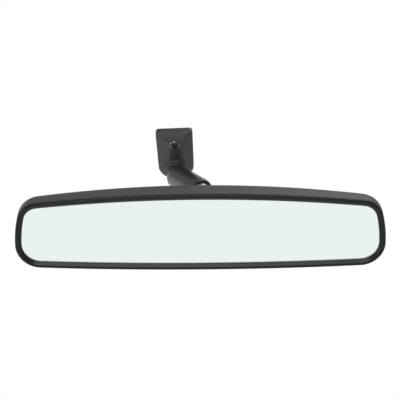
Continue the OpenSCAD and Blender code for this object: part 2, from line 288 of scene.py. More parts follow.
@dataclass(frozen=True)
class SilveredGlass(Finish):
    """Mirror glass: clear, with its silver reflecting slightly green, and hardly any haze."""

    def build(self) -> bpy.types.Material:
        """A polished reflector with a trace of wipe marks in its gloss."""
        graph = Graph(self.name)
        wipes = graph.noise(40.0, 3.0, graph.stretched((0.35, 1.0, 1.6)))
        pale = tuple(c * 1.004 for c in self.colour)
        return graph.surface(
            {
                "Base Color": graph.mixed(wipes, self.colour, pale),
                "Roughness": (wipes * self.gloss_spread + self.roughness).held(0.0, 1.0),
                "Metallic": 1.0,
            }
        )


FINISHES: dict[Slot, Finish] = {
    Slot.HOUSING: GrainedPlastic("grained_black_plastic", (0.04, 0.041, 0.044), 0.5, grain_mm=0.55, grain_depth_mm=0.02),
    Slot.BEZEL: GrainedPlastic("satin_black_plastic", (0.009, 0.01, 0.011), 0.3, specular=0.18, grain_mm=0.35, grain_depth_mm=0.004),
    Slot.BRACKET: SprayedPaint("satin_black_paint", (0.028, 0.029, 0.031), 0.42, grain_mm=1.1, grain_depth_mm=0.03, edge_wear=0.5),
    Slot.TUBE: SprayedPaint("gloss_black_paint", (0.018, 0.018, 0.02), 0.32, grain_mm=1.4, grain_depth_mm=0.02, coat=0.3, edge_wear=0.4),
    Slot.SCREW: BrushedMetal("black_oxide_steel", (0.11, 0.11, 0.115), 0.3, metallic=0.85, grain_mm=0.3, grain_depth_mm=0.006),
    Slot.STUD: SprayedPaint("black_phosphate_steel", (0.045, 0.045, 0.05), 0.4, metallic=0.6, grain_mm=0.4),
    Slot.BALL: BrushedMetal("greased_ball_steel", (0.5, 0.5, 0.52), 0.2, metallic=1.0, grain_mm=0.5, grain_depth_mm=0.003),
    Slot.NYLON: Finish("natural_nylon", (0.62, 0.59, 0.52), 0.45, grain_mm=0.8, grain_depth_mm=0.01),
    Slot.ZINC: BrushedMetal("bright_zinc", (0.6, 0.61, 0.63), 0.3, metallic=1.0, grain_mm=0.6, grain_depth_mm=0.005),
    Slot.SPRING: BrushedMetal("spring_wire", (0.35, 0.36, 0.38), 0.28, metallic=1.0, grain_mm=0.3, grain_depth_mm=0.004),
    Slot.RUBBER: Finish("black_rubber", (0.018, 0.018, 0.019), 0.75, grain_mm=0.4, grain_depth_mm=0.02),
    Slot.PLATE: BrushedMetal("pressed_steel", (0.42, 0.43, 0.45), 0.36, metallic=1.0, grain_mm=0.7, grain_depth_mm=0.01),
    Slot.FILM: Finish("grey_film", (0.2, 0.21, 0.22), 0.5, grain_mm=1.0, grain_depth_mm=0.005),
    Slot.FOAM: CellFoam("grey_foam", (0.06, 0.06, 0.065), 0.9, grain_mm=0.6, grain_depth_mm=0.12),
    Slot.CARRIER: GrainedPlastic("carrier_plastic", (0.03, 0.03, 0.032), 0.5, grain_mm=0.5, grain_depth_mm=0.01),
    Slot.GLASS: SilveredGlass("silvered_glass", (0.822, 0.878, 0.878), 0.015, gloss_spread=0.01),
}

GROUND_EDGE = Finish("ground_glass_edge", (0.93, 0.95, 0.95), 0.35, metallic=0.9, grain_mm=0.2, colour_spread=0.02)


class Paints:
    """Builds each finish once and hands out its material."""

    def __init__(self) -> None:
        """Starts with nothing built."""
        self._made: dict[str, bpy.types.Material] = {}

    def of(self, finish: Finish) -> bpy.types.Material:
        """The material of a finish."""
        if finish.name not in self._made:
            self._made[finish.name] = finish.build()
        return self._made[finish.name]

    def slot(self, slot: Slot) -> bpy.types.Material:
        """The material of a slot of the record."""
        return self.of(FINISHES[slot])


# ---- mesh helpers ----


def rounded(corners: Sequence[tuple[float, float, float]], steps: int = 5) -> list[Point2]:
    """A closed outline with each corner rounded.

    Args:
        corners: x, y and radius of each corner, in order.
        steps: Points along each rounded corner.

    Returns:
        The points of the outline.
    """
    out: list[Point2] = []
    count = len(corners)
    for k, (x, y, radius) in enumerate(corners):
        here = Vector((x, y))
        back = Vector(corners[k - 1][:2]) - here
        ahead = Vector(corners[(k + 1) % count][:2]) - here
        angle = back.angle(ahead)
        if radius <= 0.0 or angle > math.radians(178.0):
            out.append((x, y))
            continue
        reach = min(radius / math.tan(angle / 2), 0.49 * back.length, 0.49 * ahead.length)
        start, end = here + back.normalized() * reach, here + ahead.normalized() * reach
        for i in range(steps + 1):
            t = i / steps
            bent = (1 - t) ** 2 * start + 2 * t * (1 - t) * here + t**2 * end
            out.append((bent.x, bent.y))
    return out


def loft(rings: Sequence[Sequence[Vector]], looped: bool) -> Shape:
    """Joins closed rings of equal count, end to end in a loop or with each end closed by a fan."""
    count = len(rings[0])
    points = [p for ring in rings for p in ring]
    last = len(rings) if looped else len(rings) - 1
    faces: list[tuple[int, ...]] = []
    for k in range(last):
        a, b = k * count, ((k + 1) % len(rings)) * count
        for j in range(count):
            i = (j + 1) % count
            faces.append((a + j, b + j, b + i, a + i))
    if not looped:
        for base, ring, turn in ((0, rings[0], 1), ((len(rings) - 1) * count, rings[-1], -1)):
            tip = len(points)
            points.append(sum(ring, Vector()) / count)
            for j in range(count):
                i = (j + 1) % count
                faces.append((base + j, base + i, tip)[::turn])
    return points, faces


def lathe(profile: Sequence[Point2], segments: int, looped: bool) -> Shape:
    """Turns (radius, height) points about Z. A profile that isn't looped starts and ends on the axis."""
    inner = profile if looped else profile[1:-1]
    turns = [2 * math.pi * k / segments for k in range(segments)]
    rings = [[Vector((r * math.cos(a), r * math.sin(a), z)) for a in turns] for r, z in inner]
    points, faces = loft(rings, looped)
    if not looped:
        points[-2] = Vector((0, 0, profile[0][1]))
        points[-1] = Vector((0, 0, profile[-1][1]))
    return points, faces


def prism(outline: Sequence[Point2], low: float, high: float) -> Shape:
    """A straight solid with that outline, between two heights."""
    count = len(outline)
    points = [Vector((x, y, z)) for z in (low, high) for x, y in outline]
    faces = [(j, (j + 1) % count, count + (j + 1) % count, count + j) for j in range(count)]
    return points, [*faces, tuple(reversed(range(count))), tuple(range(count, 2 * count))]


def circle(radius: float, count: int, centre: Point2 = (0.0, 0.0)) -> list[Point2]:
    """Points round a circle."""
    turns = [2 * math.pi * k / count for k in range(count)]
    return [(centre[0] + radius * math.cos(a), centre[1] + radius * math.sin(a)) for a in turns]


def solid(name: str, shape: Shape, place: Matrix) -> bpy.types.Object:
    """Makes an object from a shape in millimetres, put in its place in metres, with its faces outwards."""
    mesh = bpy.data.meshes.new(name)
    mesh.from_pydata([place @ p * MM for p in shape[0]], [], shape[1])
    work = bmesh.new()
    work.from_mesh(mesh)
    bmesh.ops.remove_doubles(work, verts=work.verts, dist=1e-7)
    bmesh.ops.recalc_face_normals(work, faces=work.faces)
    work.to_mesh(mesh)
    work.free()
    obj = bpy.data.objects.new(name, mesh)
    bpy.context.scene.collection.objects.link(obj)
    soften(obj)
    return obj


def soften(obj: bpy.types.Object, sharp_deg: float = SHARP_DEG) -> None:
    """Smooth shading, with edges sharper than sharp_deg left crisp."""
    obj.data.shade_smooth()
    obj.data.set_sharp_from_angle(angle=math.radians(sharp_deg))


def discard(obj: bpy.types.Object) -> None:
    """Removes a helper object."""
    bpy.data.objects.remove(obj, do_unlink=True)


def settled(obj: bpy.types.Object) -> bpy.types.Object:
    """Turns the object's modifiers into plain mesh."""
    graph = bpy.context.evaluated_depsgraph_get()
    mesh = bpy.data.meshes.new_from_object(obj.evaluated_get(graph))
    obj.modifiers.clear()
    obj.data = mesh
    return obj


def combined(obj: bpy.types.Object, tools: Sequence[tuple[bpy.types.Object, str]]) -> bpy.types.Object:
    """Cuts tools out of an object, or joins them to it.

    Args:
        obj: The object that is changed.
        tools: Each helper with DIFFERENCE or UNION. Helpers are removed afterwards.

    Returns:
        The object, with plain mesh.
    """
    for tool, operation in tools:
        modifier = obj.modifiers.new("cut", "BOOLEAN")
        modifier.object, modifier.operation, modifier.solver = tool, operation, "EXACT"
        tool.hide_render = True
    settled(obj)
    for tool, _ in tools:
        discard(tool)
    return obj


def bevelled(obj: bpy.types.Object, width_mm: float, segments: int, angle_deg: float) -> bpy.types.Object:
    """Rounds the edges that are sharper than angle_deg."""
    modifier = obj.modifiers.new("bevel", "BEVEL")
    modifier.width, modifier.segments = width_mm * MM, segments
    modifier.limit_method, modifier.angle_limit = "ANGLE", math.radians(angle_deg)
    modifier.harden_normals = False
    settled(obj)
    soften(obj)
    return obj


def frame_of(origin: Vector, z: Vector, up: Vector) -> Matrix:
    """A place whose Z runs along z and whose Y leans towards up. The origin is in millimetres."""
    z = z.normalized()
    x = up.cross(z).normalized()
    y = z.cross(x)
    turn = Matrix((x, y, z)).transposed().to_4x4()
    return Matrix.Translation(origin) @ turn


# ---- geometry nodes ----


class Rule:
    """A geometry node tree with named inputs, run once on a helper object."""

    def __init__(self, name: str) -> None:
        """Starts an empty tree with one geometry input and output."""
        self.tree = bpy.data.node_groups.new(name, "GeometryNodeTree")
        self.tree.interface.new_socket("Geometry", in_out="INPUT", socket_type="NodeSocketGeometry")
        self.tree.interface.new_socket("Geometry", in_out="OUTPUT", socket_type="NodeSocketGeometry")
        self.values: dict[str, object] = {}

    def size(self, name: str, kind: str, value: object) -> None:
        """Adds a named input of the tree and the value it is given."""
        self.tree.interface.new_socket(name, in_out="INPUT", socket_type=kind)
        self.values[name] = value

    def start(self) -> bpy.types.Node:
        """The node that carries the tree's inputs. It is added once all of them are named."""
        return self.tree.nodes.new("NodeGroupInput")

    def node(self, kind: str, settings: dict | None = None, inputs: dict | None = None) -> bpy.types.Node:
        """Adds one node, sets its attributes, then links or fills its inputs."""
        node = self.tree.nodes.new(kind)
        for key, value in (settings or {}).items():
            setattr(node, key, value)
        for key, value in (inputs or {}).items():
            if isinstance(value, bpy.types.NodeSocket):
                self.tree.links.new(value, node.inputs[key])
            else:
                node.inputs[key].default_value = value
        return node

    def finish(self, geometry: bpy.types.NodeSocket, material: bpy.types.NodeSocket) -> None:
        """Ends the tree in real geometry with its material."""
        real = self.node("GeometryNodeRealizeInstances", None, {0: geometry})
        dressed = self.node("GeometryNodeSetMaterial", None, {"Geometry": real.outputs[0], "Material": material})
        end = self.tree.nodes.new("NodeGroupOutput")
        self.tree.links.new(dressed.outputs[0], end.inputs[0])

    def run(self, name: str, mesh: bpy.types.Mesh) -> bpy.types.Object:
        """Runs the tree on a mesh and returns the result as a plain object."""
        obj = bpy.data.objects.new(name, mesh)
        bpy.context.scene.collection.objects.link(obj)
        modifier = obj.modifiers.new("rule", "NODES")
        modifier.node_group = self.tree
        for item in self.tree.interface.items_tree:
            if item.in_out == "INPUT" and item.name in self.values:
                modifier[item.identifier] = self.values[item.name]
        return settled(obj)


def scattered(
    name: str, template: bpy.types.Object, spots: Sequence[Vector], material: bpy.types.Material
) -> bpy.types.Object:
    """Repeats a template, modelled about the origin, at each spot in metres.

    Args:
        name: Name of the result.
        template: The piece to repeat. It is removed.
        spots: Places of the copies.
        material: What the copies are made of.

    Returns:
        One object with all the copies.
    """
    rule = Rule(name + "_rule")
    rule.size("Template", "NodeSocketObject", template)
    rule.size("Material", "NodeSocketMaterial", material)
    start = rule.start()
    source = rule.node("GeometryNodeObjectInfo", None, {"Object": start.outputs["Template"]})
    dots = rule.node("GeometryNodeMeshToPoints", None, {"Mesh": start.outputs["Geometry"]})
    copies = rule.node(
        "GeometryNodeInstanceOnPoints", None, {"Points": dots.outputs[0], "Instance": source.outputs["Geometry"]}
    )
    rule.finish(copies.outputs[0], start.outputs["Material"])
    mesh = bpy.data.meshes.new(name)
    mesh.from_pydata(list(spots), [], [])
    result = rule.run(name, mesh)
    discard(template)
    soften(result)
    return result


# ---- what the frame says ----


class Layout:
    """Places that every piece is built from, read from the fixed frame. Lengths are in millimetres."""

    def __init__(self, record: dict) -> None:
        """Reads joints, mounts and boxes."""
        joints = {j["name"]: j for j in record["behaviour"]["joints"]}
        mounts = {m["name"]: m for m in record["mounts"]}
        self.upper = Vector(joints["arm_pan"]["pos_m"]) / MM
        self.lower = Vector(joints["head_pan"]["pos_m"]) / MM
        self.arm_axis = Vector(joints["tube_spin"]["axis"]).normalized()
        self.arm_length = (self.lower - self.upper).length
        out = -Vector(mounts["windshield_face"]["axis"]).normalized()
        up = -Vector(mounts["button_slot"]["axis"]).normalized()
        self.bracket = frame_of(Vector(mounts["button_slot"]["pos_m"]) / MM, out, up)
        low, high = (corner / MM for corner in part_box("front_bezel"))
        self.head_w, self.head_h = high.x - low.x, high.z - low.z
        self.head_front = Vector(((low.x + high.x) / 2, low.y, (low.z + high.z) / 2))
        self.head_turn = Matrix.Translation(self.head_front)
        self.pivot = self.lower - self.head_front

    def depth(self, node: str, end: int) -> float:
        """Depth of a head node's front (0) or back (1), from the bezel's front face."""
        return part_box(node)[end].y / MM - self.head_front.y


# ---- mirror head ----


@dataclass
class HeadOutline:
    """Outline of the mirror head, from arcs that meet smoothly. Insets give parallel outlines."""

    width: float
    height: float
    crown_r: float = 1150.0
    belly_r: float = 2580.0
    end_r: float = 95.0
    end_z: float = -9.0
    upper_corner_r: float = 15.0
    lower_corner_r: float = 18.0

    def _corner(self, centre: Vector, reach: float, end: Vector, end_reach: float, side: float) -> Vector:
        """Centre of a corner arc inside a long arc and an end arc."""
        gap = end - centre
        along = (reach**2 - end_reach**2 + gap.length_squared) / (2 * gap.length)
        across = math.sqrt(reach**2 - along**2)
        unit = gap.normalized()
        return centre + along * unit + side * across * Vector((-unit.y, unit.x))

    def points(self, inset: float) -> list[Point2]:
        """Points of the outline moved inwards by inset, clockwise from the middle of the top."""
        crown = Vector((0.0, self.height / 2 - self.crown_r))
        belly = Vector((0.0, -self.height / 2 + self.belly_r))
        end = Vector((self.width / 2 - self.end_r, self.end_z))
        r1, r2 = self.upper_corner_r, self.lower_corner_r
        upper = self._corner(crown, self.crown_r - r1, end, self.end_r - r1, -1.0)
        lower = self._corner(belly, self.belly_r - r2, end, self.end_r - r2, 1.0)

        def angle(towards: Vector) -> float:
            """Heading of a vector."""
            return math.atan2(towards.y, towards.x)

        quarter = math.pi / 2
        stretches = (
            (crown, self.crown_r, quarter, angle(upper - crown), 26),
            (upper, r1, angle(upper - crown), angle(upper - end), 14),
            (end, self.end_r, angle(upper - end), angle(lower - end), 8),
            (lower, r2, angle(lower - end), angle(lower - belly), 14),
            (belly, self.belly_r, angle(lower - belly), -quarter, 26),
        )
        half: list[Point2] = []
        for centre, radius, first, last, count in stretches:
            for k in range(count):
                a = first + (last - first) * k / count
                reach = radius - inset
                half.append((centre.x + reach * math.cos(a), centre.y + reach * math.sin(a)))
        bottom = (0.0, -self.height / 2 + inset)
        return [*half, bottom, *[(-x, z) for x, z in reversed(half[1:])]]

    def ring(self, inset: float, depth: float) -> list[Vector]:
        """The outline at a depth behind the bezel's front."""
        return [Vector((x, depth, z)) for x, z in self.points(inset)]


@dataclass
class MirrorHead:
    """Rear case, bezel, glass and the small parts inside the head."""

    layout: Layout
    paints: Paints
    bezel_w: float = 4.6
    wall: float = 2.0
    mid_depth: float = 23.0
    end_depth: float = 15.5
    squareness: float = 5.0
    parting_gap: float = 0.14
    boss_r: float = 10.0
    boss_flare: float = 3.2

    def __post_init__(self) -> None:
        """Settles the outline and the depths that the frame gives."""
        self.outline = HeadOutline(self.layout.head_w, self.layout.head_h)
        self.parting = self.layout.depth("rear_housing", 0)
        self.glass_front = self.layout.depth("mirror_glass", 0)
        self.glass_back = self.layout.depth("mirror_glass", 1)
        self.boss_face = self.layout.depth("stud_gasket", 0)

    def _back_at(self, x: float) -> float:
        """Depth of the case's back along its middle line."""
        return self.parting + self.mid_depth - (self.mid_depth - self.end_depth) * (2 * x / self.layout.head_w) ** 2

    def _skin_ring(self, angle: float, inside: float) -> list[Vector]:
        """One ring of the case's squarish section, on a skin that lies inside the outer one."""
        power = 2 / self.squareness
        left, risen = math.cos(angle) ** power, math.sin(angle) ** power
        half_w, half_h = self.layout.head_w / 2 - inside, self.layout.head_h / 2 - inside
        inset = half_h * (1 - left)
        sx, sz = (half_w - inset) / half_w, (half_h - inset) / half_h
        ring = []
        for x, z in self.outline.points(inside):
            depth = self.parting + (self._back_at(x * sx) - self.parting - inside) * risen
            ring.append(Vector((x * sx, depth, z * sz)))
        return ring

    def rear_case(self) -> bpy.types.Object:
        """The moulded rear case with its pivot boss, hollow inside."""
        degrees = (0.2, 0.6, 1.5, 3, 5, 8, 11, 15, 19, 24, 29, 34, 40, 46, 52, 58, 64, 70, 76, 81, 85.5)
        edge = self.parting + self.parting_gap
        lead = 0.35
        outer = [self._skin_ring(math.radians(a), 0.0) for a in degrees if a > 0.2]
        inner = [self._skin_ring(math.radians(a), self.wall) for a in reversed(degrees[2::2])]
        rim = [self.outline.ring(self.wall, edge), self.outline.ring(lead, edge), self.outline.ring(0.08, edge + lead)]
        rings = [*inner, *rim, *[self.outline.ring(0.0, edge + 3 * lead)], *outer[1:]]
        shape = loft(rings, looped=False)
        shape[0][-2] = Vector((0.0, self._back_at(0.0) - self.wall, 0.0))
        shape[0][-1] = Vector((0.0, self._back_at(0.0), 0.0))
        case = solid("rear_case", shape, self.layout.head_turn)
        boss_place = self.layout.head_turn @ Matrix.Translation((0, self.boss_face, self.layout.pivot.z))
        boss_place = boss_place @ Matrix.Rotation(math.radians(90), 4, "X")
        flare = self.boss_r - 1.2
        profile = [(0.0, 0.0), (3.2, 0.0), *self._boss_edge(flare), (self.boss_r, 5.0), (0.0, 5.0)]
        boss = solid("boss", lathe(profile, 72, looped=False), boss_place)
        hole = solid("hole", prism(circle(3.2, 48), -3.0, 9.0), boss_place)
        combined(case, [(boss, "UNION"), (hole, "DIFFERENCE")])
        soften(case)
        return case

    def _boss_edge(self, flat_r: float) -> list[Point2]:
        """Rounded rim of the pivot boss, as (radius, height) from its face inwards."""
        turns = [math.radians(10 * k) for k in range(10)]
        rise = self.boss_r - flat_r
        return [(flat_r + rise * math.sin(a), rise * (1 - math.cos(a))) for a in turns]

    def bezel(self) -> bpy.types.Object:
        """The front frame: a rounded bead that slopes in to the glass, with its skirt."""
        lip_back = self.glass_front - 0.3
        skirt_out, skirt_in = self.wall + 0.15, self.wall + 1.35
        skirt_end = self.layout.depth("front_bezel", 1)
        corners = [
            (0.5, lip_back - 0.02, 0.1),
            (0.05, lip_back - 0.5, 0.15),
            (0.05, 0.9, 0.7),
            (0.8, 0.0, 0.7),
            (2.3, 0.0, 0.6),
            (self.bezel_w - 0.3, 1.5, 0.3),
            (self.bezel_w, 1.65, 0.15),
            (self.bezel_w, lip_back, 0.1),
            (skirt_in, lip_back, 0.1),
            (skirt_in, skirt_end, 0.2),
            (skirt_out, skirt_end, 0.4),
            (skirt_out, lip_back, 0.0),
        ]
        rings = [self.outline.ring(inset, depth) for inset, depth in rounded(corners)]
        return solid("bezel_frame", loft(rings, looped=True), self.layout.head_turn)

    def glass(self) -> bpy.types.Object:
        """The mirror glass, with a narrow ground border at the frame's edge."""
        edge_in = (self.layout.head_w - (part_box("mirror_glass")[1].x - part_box("mirror_glass")[0].x) / MM) / 2
        chamfer = 0.25
        border = self.bezel_w + 0.55
        front, back = self.glass_front, self.glass_back
        rings = [
            self.outline.ring(edge_in + chamfer, back),
            self.outline.ring(edge_in, back - chamfer),
            self.outline.ring(edge_in, front + chamfer),
            self.outline.ring(edge_in + chamfer, front + 0.02),
            self.outline.ring(border, front + 0.02),
            self.outline.ring(border + 0.1, front),
        ]
        plate = solid("mirror_plate", loft(rings, looped=False), self.layout.head_turn)
        soften(plate, 2.0)
        plate.data.materials.append(self.paints.slot(Slot.GLASS))
        plate.data.materials.append(self.paints.of(GROUND_EDGE))
        limit = (self.layout.head_front.y + front + 0.015) * MM
        inner = self.outline.width / 2 - border
        for face in plate.data.polygons:
            inside = abs(face.center.x / MM - self.layout.head_front.x) < inner and face.center.y < limit
            is_front = inside and abs(face.normal.y) > 0.999 and face.area > 2e-6
            face.material_index = 0 if is_front or face.center.y > limit + 2 * chamfer * MM else 1
        return plate

    def stud_and_gasket(self) -> tuple[bpy.types.Object, bpy.types.Object]:
        """The head's ball stud and the rubber washer under its flange."""
        place = frame_of(self.layout.lower, Vector((0, -1, 0)), Vector((0, 0, 1)))
        reach = (self.layout.lower.y - self.layout.head_front.y) - self.layout.depth("lower_stud", 0)
        stud = solid("head_ball_stud", BallStud(shank_end=reach).shape(), place)
        face = self.layout.pivot.y - self.boss_face
        thick = self.layout.depth("stud_gasket", 1) - self.boss_face
        ring = rounded([(3.1, face - thick, 0.0), (7.0, face - thick, 0.3), (7.0, face, 0.3), (3.1, face, 0.0)])
        gasket = solid("flange_gasket", lathe(ring, 64, looped=True), place)
        return stud, gasket

    def plate_screw_set(self) -> bpy.types.Object:
        """The four screws of the reinforcement plate, with cross recesses."""
        low, high = (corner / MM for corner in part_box("plate_screws"))
        head_r, shank_r, head_t, length = 2.6, 1.15, 1.6, high.y - low.y
        dome = [(0.0, 0.0), (0.8, 0.02), (1.7, 0.25), (2.3, 0.7), (head_r, 1.2), (head_r, head_t)]
        thread: list[Point2] = []
        pitch = 0.7
        for k in range(int((length - head_t - 0.6) / pitch)):
            z = head_t + k * pitch
            thread += [(shank_r, z + 0.1 * pitch), (shank_r - 0.25, z + 0.6 * pitch)]
        profile = [*dome, *thread, (0.4, length - 0.1), (0.0, length)]
        turn = Matrix.Rotation(math.radians(-90), 4, "X")
        screw = solid("screw_template", lathe(profile, 28, looped=False), turn)
        cutters = []
        for angle in (45, 135):
            bar = [(-1.5, -0.3), (1.5, -0.3), (1.5, 0.3), (-1.5, 0.3)]
            place = turn @ Matrix.Rotation(math.radians(angle), 4, "Z")
            cutters.append((solid("bar", prism(bar, -1.0, 0.9), place), "DIFFERENCE"))
        combined(screw, cutters)
        xs, zs = (low.x + head_r, high.x - head_r), (low.z + head_r, high.z - head_r)
        spots = [Vector((x, low.y, z)) * MM for x in xs for z in zs]
        return scattered("plate_screw_set", screw, spots, self.paints.slot(Slot.ZINC))

    def rattle_pads(self) -> bpy.types.Object:
        """The foam pads between carrier and case."""
        low, high = (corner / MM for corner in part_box("anti_rattle_pads"))
        radius, thick = 3.0, high.y - low.y
        profile = [(0.0, 0.0), (radius - 0.2, 0.0), (radius, 0.2), (radius, thick - 0.2), (radius - 0.2, thick), (0.0, thick)]
        pad = solid("pad_template", lathe(profile, 24, looped=False), Matrix.Rotation(math.radians(-90), 4, "X"))
        mid_x, mid_z = (low.x + high.x) / 2, (low.z + high.z) / 2
        half_x, half_z = (high.x - low.x) / 2 - radius, (high.z - low.z) / 2 - radius
        inner = 0.2 / 0.38
        xs = (mid_x - half_x, mid_x - half_x * inner, mid_x + half_x * inner, mid_x + half_x)
        spots = [Vector((x, low.y, mid_z + side * half_z)) * MM for x in xs for side in (-1, 1)]
        return scattered("rattle_pads", pad, spots, self.paints.slot(Slot.FOAM))

    def build(self) -> None:
        """Builds the head's pieces and puts each on the head body."""
        mount(self.paints, self.rear_case(), "head", Slot.HOUSING, "rear_housing")
        mount(self.paints, self.bezel(), "head", Slot.BEZEL, "front_bezel")
        mount(self.paints, self.glass(), "head", Slot.GLASS, "mirror_glass", dress=False)
        stud, gasket = self.stud_and_gasket()
        mount(self.paints, stud, "head", Slot.STUD, "lower_stud")
        mount(self.paints, gasket, "head", Slot.RUBBER, "stud_gasket")
        mount(self.paints, self.plate_screw_set(), "head", Slot.ZINC, "plate_screws", dress=False)
        mount(self.paints, self.rattle_pads(), "head", Slot.FOAM, "anti_rattle_pads", dress=False)


# ---- ball joints and arm ----


@dataclass
class BallStud:
    """A stud whose neck leaves its ball along +Z and ends in a flange and a shank."""

    ball_r: float = 7.0
    neck_r: float = 2.4
    flange_at: float = 9.0
    flange_r: float = 6.2
    flange_t: float = 1.6
    shank_r: float = 3.0
    shank_end: float = 16.0

    def shape(self) -> Shape:
        """The stud as one turned solid."""
        hollow = self.ball_r + 0.12
        cup = [(self.neck_r * k / 4, math.sqrt(hollow**2 - (self.neck_r * k / 4) ** 2)) for k in range(4)]
        rim = math.sqrt(hollow**2 - self.neck_r**2)
        fillet = 0.9
        sweep = [math.radians(15 * k) for k in range(7)]
        foot = [
            (self.neck_r + fillet * (1 - math.cos(a)), self.flange_at - fillet + fillet * math.sin(a)) for a in sweep
        ]
        back = self.flange_at + self.flange_t
        edge = [
            (self.flange_r - 0.3, self.flange_at),
            (self.flange_r, self.flange_at + 0.3),
            (self.flange_r, back - 0.2),
            (self.flange_r - 0.2, back),
        ]
        end = [(self.shank_r, back), (self.shank_r, self.shank_end - 0.4), (self.shank_r - 0.4, self.shank_end)]
        profile = [*cup, (self.neck_r, rim), *foot, *edge, *end, (0.0, self.shank_end)]
        return lathe(profile, 64, looped=False)


@dataclass
class ArmSet:
    """The swaged tube, both balls and the spring between their seats."""

    layout: Layout
    paints: Paints
    tube_r: float = 9.0
    bore_r: float = 7.05
    lip: float = 3.4
    ball_r: float = 7.0
    wire_r: float = 0.9
    turns: float = 6.0
    seat_stack: float = 10.05

    def __post_init__(self) -> None:
        """Finds the arm's own place, with Z from the upper ball to the lower one."""
        self.place = frame_of(self.layout.upper, self.layout.arm_axis, Vector((0, 0, 1)))

    def tube(self) -> bpy.types.Object:
        """The tube, turned in one piece, with both lips closed in over the balls."""
        steps = 14
        length = self.layout.arm_length
        edge = 0.35
        outer = [(math.sqrt(self.tube_r**2 - z**2), -z) for z in self._fractions(self.lip - edge, steps)]
        mouth_r = math.sqrt(self.bore_r**2 - self.lip**2)
        outer_lip = math.sqrt(self.tube_r**2 - self.lip**2)
        lip = [
            (outer_lip + 0.02, -self.lip + edge * 0.35),
            (outer_lip - edge * 0.7, -self.lip),
            (mouth_r + edge * 0.6, -self.lip),
            (mouth_r + 0.02, -self.lip + edge * 0.5),
        ]
        inner = [(math.sqrt(self.bore_r**2 - z**2), -z) for z in reversed(self._fractions(self.lip - edge, steps))]
        near = [*outer, *lip, *inner]
        far = [(r, length - z) for r, z in reversed(near)]
        return solid("arm_sleeve", lathe([*near, *far], 96, looped=True), self.place)

    def _fractions(self, top: float, steps: int) -> list[float]:
        """Evenly spaced numbers from 0 to top."""
        return [top * k / steps for k in range(steps + 1)]

    def ball(self, name: str, centre: Vector) -> bpy.types.Object:
        """A smooth ball with a fine turning mark round its equator."""
        steps = 40
        turns = [math.pi * k / steps for k in range(steps + 1)]
        profile = [(self.ball_r * math.sin(a), -self.ball_r * math.cos(a)) for a in turns]
        profile[steps // 2] = (self.ball_r - 0.03, 0.0)
        return solid(name, lathe(profile, 72, looped=False), Matrix.Translation(centre))

    def spring(self) -> bpy.types.Object:
        """The coil spring: a spiral whose ends lie flat, swept with its wire."""
        rise = self.layout.arm_length - 2 * self.seat_stack - 2 * self.wire_r
        rule = Rule("spring_rule")
        rule.size("Coil Radius", "NodeSocketFloat", (self.bore_r - 2 * self.wire_r) * MM)
        rule.size("Wire Radius", "NodeSocketFloat", self.wire_r * MM)
        rule.size("Turns", "NodeSocketFloat", self.turns)
        rule.size("Rise", "NodeSocketFloat", rise * MM)
        rule.size("Material", "NodeSocketMaterial", self.paints.slot(Slot.SPRING))
        start = rule.start()
        radius = start.outputs["Coil Radius"]
        flat = rule.node(
            "GeometryNodeCurveSpiral",
            None,
            {"Resolution": 40, "Rotations": start.outputs["Turns"], "Start Radius": radius, "End Radius": radius, "Height": 0.0},
        )
        along = rule.node("GeometryNodeSplineParameter")
        turn = rule.node("ShaderNodeMath", {"operation": "MULTIPLY"}, {0: along.outputs["Factor"], 1: start.outputs["Turns"]})
        open_from = rule.node("ShaderNodeMath", {"operation": "SUBTRACT"}, {0: turn.outputs[0], 1: 0.75})
        open_span = rule.node("ShaderNodeMath", {"operation": "SUBTRACT"}, {0: start.outputs["Turns"], 1: 1.5})
        share = rule.node(
            "ShaderNodeMath",
            {"operation": "DIVIDE", "use_clamp": True},
            {0: open_from.outputs[0], 1: open_span.outputs[0]},
        )
        lift = rule.node("ShaderNodeMath", {"operation": "MULTIPLY"}, {0: share.outputs[0], 1: start.outputs["Rise"]})
        offset = rule.node("ShaderNodeCombineXYZ", None, {"Z": lift.outputs[0]})
        coil = rule.node("GeometryNodeSetPosition", None, {"Geometry": flat.outputs[0], "Offset": offset.outputs[0]})
        wire = rule.node("GeometryNodeCurvePrimitiveCircle", None, {"Resolution": 12, "Radius": start.outputs["Wire Radius"]})
        swept = rule.node(
            "GeometryNodeCurveToMesh", None, {"Curve": coil.outputs[0], "Profile Curve": wire.outputs[0], "Fill Caps": True}
        )
        rule.finish(swept.outputs[0], start.outputs["Material"])
        spring = rule.run("arm_coil", bpy.data.meshes.new("arm_coil"))
        lift_off = Matrix.Translation((0, 0, self.seat_stack + self.wire_r))
        spring.data.transform(metres(self.place @ lift_off))
        soften(spring)
        return spring

    def build(self) -> None:
        """Builds the arm's pieces and puts each on its body."""
        mount(self.paints, self.tube(), "arm", Slot.TUBE, "arm_tube")
        mount(self.paints, self.ball("upper_joint_ball", self.layout.upper), "upper_ball_link", Slot.BALL, "upper_ball")
        mount(self.paints, self.ball("lower_joint_ball", self.layout.lower), "lower_ball_link", Slot.BALL, "lower_ball")
        mount(self.paints, self.spring(), "upper_seat_link", Slot.SPRING, "arm_spring", dress=False)


# ---- bracket ----


